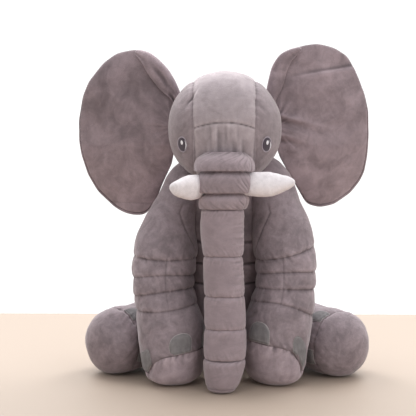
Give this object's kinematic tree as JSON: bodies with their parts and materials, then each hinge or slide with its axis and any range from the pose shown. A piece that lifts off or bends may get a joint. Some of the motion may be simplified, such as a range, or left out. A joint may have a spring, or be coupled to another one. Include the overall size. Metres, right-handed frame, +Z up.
{
  "type": "stuffed elephant",
  "caption": "Seated stuffed elephant with wide ears, a quilted hanging trunk, pointed tusks, embroidered eyes and long padded legs.",
  "frame": {"origin": "centre of the part's box on the surface it sits on", "axes": "+X to the viewer's right, -Y the way the face looks, +Z up"},
  "size_m": [0.5528, 0.3621, 0.605],
  "materials": {
    "grey_plush": "short warm grey velour plush with a mauve cast, nap brushed in patches",
    "light_plush": "the same plush in a lighter, pinker grey, on the trunk and soles",
    "white_plush": "fine white velour",
    "toenail_felt": "smooth grey-green felt, edge stitched",
    "eye_thread": "satin stitch in dark thread with a pale highlight",
    "fibre_filling": "loose white polyester fibre"
  },
  "bodies": {
    "torso": {"belly_panel": "grey_plush", "back_panel": "grey_plush", "torso_filling": "fibre_filling"},
    "head": {"forehead_panel": "grey_plush", "cheek_left_panel": "grey_plush", "cheek_right_panel": "grey_plush", "head_filling": "fibre_filling", "brow_roll": "light_plush", "muzzle_roll_upper": "light_plush", "muzzle_roll_lower": "light_plush", "tusk_left": "white_plush", "tusk_right": "white_plush", "eye_left": "eye_thread", "eye_right": "eye_thread"},
    "ear_left": {"ear_left_front_panel": "grey_plush", "ear_left_wadding": "fibre_filling", "ear_left_back_panel": "grey_plush"},
    "front_leg_left": {"front_leg_left_skin": "grey_plush", "front_leg_left_filling": "fibre_filling", "front_foot_left_sole": "light_plush", "front_left_toenail_1": "toenail_felt", "front_left_toenail_2": "toenail_felt", "front_left_toenail_3": "toenail_felt"},
    "hind_leg_left": {"hind_leg_left_skin": "grey_plush", "hind_leg_left_filling": "fibre_filling", "hind_foot_left_sole": "light_plush", "hind_left_toenail_1": "toenail_felt", "hind_left_toenail_2": "toenail_felt", "hind_left_toenail_3": "toenail_felt"},
    "ear_right": {"ear_right_front_panel": "grey_plush", "ear_right_wadding": "fibre_filling", "ear_right_back_panel": "grey_plush"},
    "front_leg_right": {"front_leg_right_skin": "grey_plush", "front_leg_right_filling": "fibre_filling", "front_foot_right_sole": "light_plush", "front_right_toenail_1": "toenail_felt", "front_right_toenail_2": "toenail_felt", "front_right_toenail_3": "toenail_felt"},
    "hind_leg_right": {"hind_leg_right_skin": "grey_plush", "hind_leg_right_filling": "fibre_filling", "hind_foot_right_sole": "light_plush", "hind_right_toenail_1": "toenail_felt", "hind_right_toenail_2": "toenail_felt", "hind_right_toenail_3": "toenail_felt"},
    "trunk_1": {"trunk_1_skin": "light_plush", "trunk_1_filling": "fibre_filling"},
    "trunk_2": {"trunk_2_skin": "light_plush", "trunk_2_filling": "fibre_filling"},
    "trunk_3": {"trunk_3_skin": "light_plush", "trunk_3_filling": "fibre_filling"},
    "trunk_4": {"trunk_4_skin": "light_plush", "trunk_4_filling": "fibre_filling"},
    "trunk_5": {"trunk_5_skin": "light_plush", "trunk_5_filling": "fibre_filling"},
    "tail": {"tail_tube": "grey_plush", "tail_tuft": "light_plush"}
  },
  "joints": [
    {"name": "head_nod", "type": "hinge", "parent": "torso", "child": "head", "pos_m": [0, -0.0296, 0.45], "axis": [-1, 0, 0], "range_deg": [0, 12], "stiffness_Nm_per_rad": 6},
    {"name": "ear_left_flap", "type": "hinge", "parent": "head", "child": "ear_left", "pos_m": [-0.103, 0.0074, 0.446], "axis": [0, 0, -1], "range_deg": [-25, 25], "stiffness_Nm_per_rad": 0.25},
    {"name": "ear_right_flap", "type": "hinge", "parent": "head", "child": "ear_right", "pos_m": [0.103, 0.0074, 0.446], "axis": [0, 0, 1], "range_deg": [-25, 25], "stiffness_Nm_per_rad": 0.25},
    {"name": "trunk_lift", "type": "hinge", "parent": "head", "child": "trunk_1", "pos_m": [0, -0.1226, 0.311], "axis": [-1, 0, 0], "range_deg": [0, 18], "stiffness_Nm_per_rad": 0.5},
    {"name": "trunk_curl_1", "type": "hinge", "parent": "trunk_1", "child": "trunk_2", "pos_m": [0, -0.13086, 0.23103], "axis": [-1, 0, 0], "range_deg": [0, 15], "stiffness_Nm_per_rad": 0.25},
    {"name": "trunk_curl_2", "type": "hinge", "parent": "trunk_2", "child": "trunk_3", "pos_m": [0, -0.13784, 0.16349], "axis": [-1, 0, 0], "range_deg": [0, 15], "stiffness_Nm_per_rad": 0.25},
    {"name": "trunk_curl_3", "type": "hinge", "parent": "trunk_3", "child": "trunk_4", "pos_m": [0, -0.14352, 0.10858], "axis": [-1, 0, 0], "range_deg": [0, 15], "stiffness_Nm_per_rad": 0.25},
    {"name": "trunk_curl_4", "type": "hinge", "parent": "trunk_4", "child": "trunk_5", "pos_m": [0, -0.14884, 0.05705], "axis": [-1, 0, 0], "range_deg": [0, 15], "stiffness_Nm_per_rad": 0.25},
    {"name": "front_leg_left_swing", "type": "hinge", "parent": "torso", "child": "front_leg_left", "pos_m": [-0.088, -0.0276, 0.3], "axis": [-1, 0, 0], "range_deg": [0, 50], "stiffness_Nm_per_rad": 2},
    {"name": "hind_leg_left_splay", "type": "hinge", "parent": "torso", "child": "hind_leg_left", "pos_m": [-0.105, 0.0924, 0.058], "axis": [0, 0, -1], "range_deg": [0, 30], "stiffness_Nm_per_rad": 2},
    {"name": "front_leg_right_swing", "type": "hinge", "parent": "torso", "child": "front_leg_right", "pos_m": [0.088, -0.0276, 0.3], "axis": [-1, 0, 0], "range_deg": [0, 50], "stiffness_Nm_per_rad": 2},
    {"name": "hind_leg_right_splay", "type": "hinge", "parent": "torso", "child": "hind_leg_right", "pos_m": [0.105, 0.0924, 0.058], "axis": [0, 0, 1], "range_deg": [0, 30], "stiffness_Nm_per_rad": 2},
    {"name": "tail_swing", "type": "hinge", "parent": "torso", "child": "tail", "pos_m": [0, 0.1554, 0.15], "axis": [1, 0, 0], "range_deg": [0, 60], "stiffness_Nm_per_rad": 0.05}
  ],
  "couplings": [
    {"joint": "trunk_curl_2", "follows": "trunk_curl_1", "ratio": 1},
    {"joint": "trunk_curl_3", "follows": "trunk_curl_1", "ratio": 1},
    {"joint": "trunk_curl_4", "follows": "trunk_curl_1", "ratio": 1}
  ]
}
